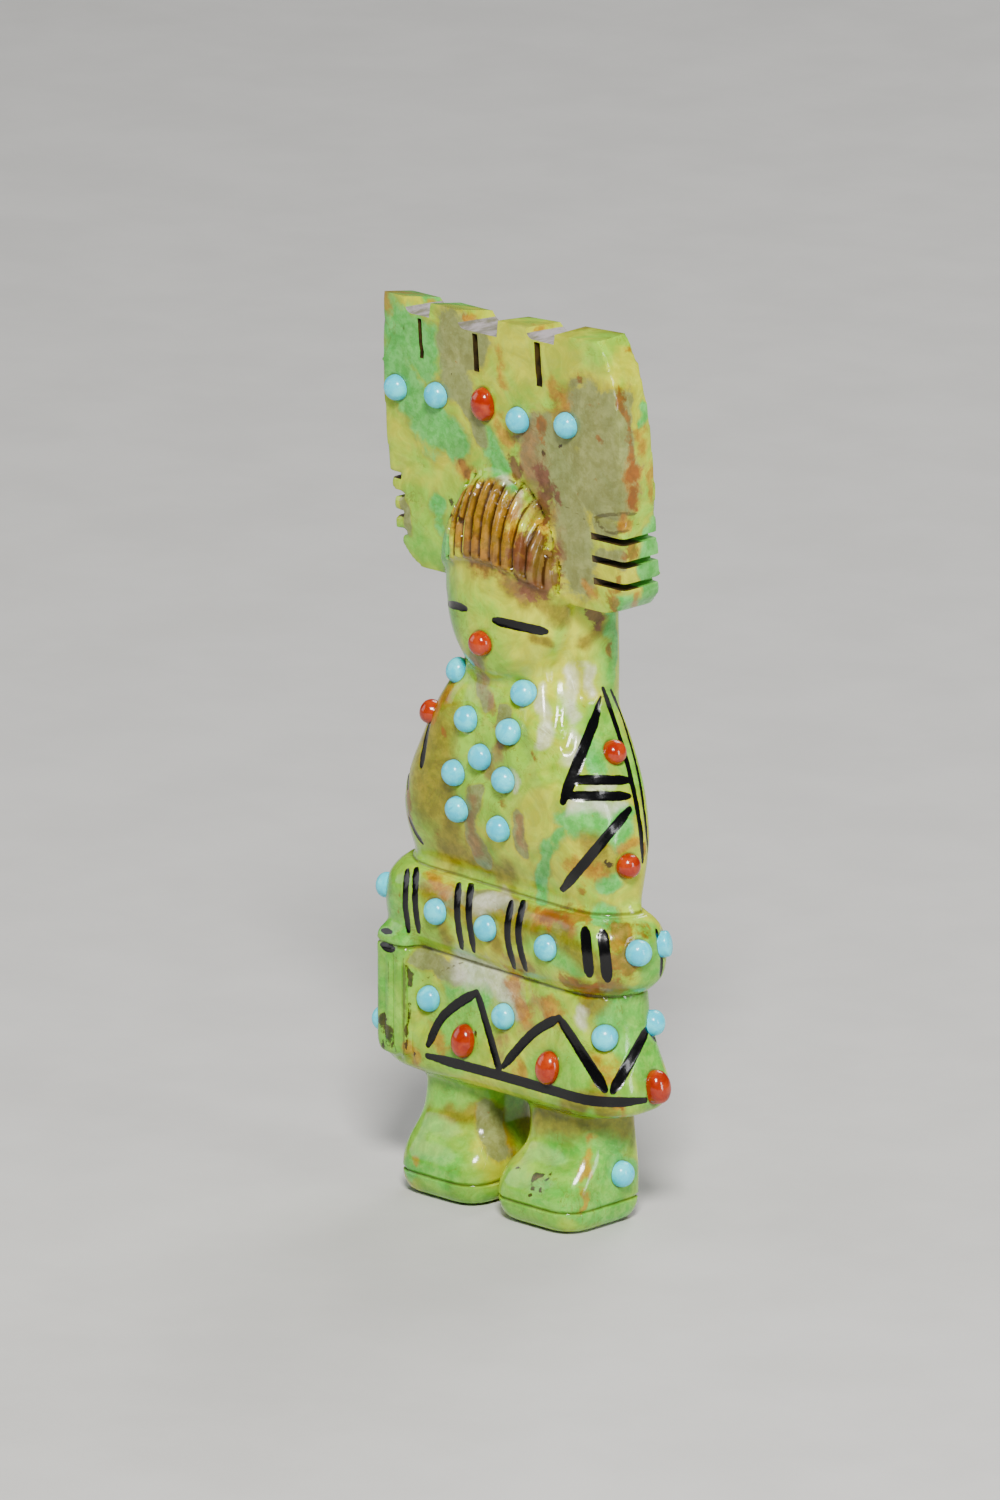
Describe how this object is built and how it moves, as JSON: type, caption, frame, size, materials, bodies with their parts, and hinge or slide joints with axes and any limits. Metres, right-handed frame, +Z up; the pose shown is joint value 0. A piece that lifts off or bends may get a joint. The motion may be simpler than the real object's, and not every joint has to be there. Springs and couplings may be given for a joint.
{
  "type": "fetish carving",
  "caption": "Small standing stone maiden with a stepped tablet headdress, carved from one mottled green slab and inlaid with domed turquoise and coral.",
  "frame": {"origin": "centre of the overall footprint, on the plane of the soles", "axes": "+Z up, -Y the way the figure faces, +X the figure's own left"},
  "size_m": [0.0358, 0.0132, 0.091],
  "materials": {
    "carved_stone": "polished to a gloss, mottled green with ochre, rust and grey-brown patches, black inked lines",
    "turquoise": "polished pale blue domes, faintly mottled",
    "coral": "polished orange-red domes and ovals"
  },
  "bodies": {
    "root": {"stone_figure": "carved_stone", "crest_turquoise_1": "turquoise", "crest_turquoise_2": "turquoise", "crest_turquoise_3": "turquoise", "crest_turquoise_4": "turquoise", "chest_turquoise_1": "turquoise", "chest_turquoise_2": "turquoise", "chest_turquoise_3": "turquoise", "chest_turquoise_4": "turquoise", "chest_turquoise_5": "turquoise", "chest_turquoise_6": "turquoise", "chest_turquoise_7": "turquoise", "chest_turquoise_8": "turquoise", "chest_turquoise_9": "turquoise", "belt_turquoise_1": "turquoise", "belt_turquoise_2": "turquoise", "belt_turquoise_3": "turquoise", "belt_turquoise_4": "turquoise", "belt_turquoise_5": "turquoise", "belt_turquoise_6": "turquoise", "belt_turquoise_7": "turquoise", "belt_turquoise_8": "turquoise", "belt_turquoise_9": "turquoise", "belt_turquoise_10": "turquoise", "skirt_turquoise_1": "turquoise", "skirt_turquoise_2": "turquoise", "skirt_turquoise_3": "turquoise", "skirt_turquoise_4": "turquoise", "skirt_turquoise_5": "turquoise", "skirt_turquoise_6": "turquoise", "skirt_turquoise_7": "turquoise", "sash_turquoise": "turquoise", "boot_turquoise_1": "turquoise", "boot_turquoise_2": "turquoise", "mouth_coral": "coral", "arm_coral_1": "coral", "arm_coral_2": "coral", "arm_coral_3": "coral", "arm_coral_4": "coral", "crest_coral": "coral", "skirt_coral_1": "coral", "skirt_coral_2": "coral", "skirt_coral_3": "coral", "skirt_coral_4": "coral"}
  },
  "joints": []
}
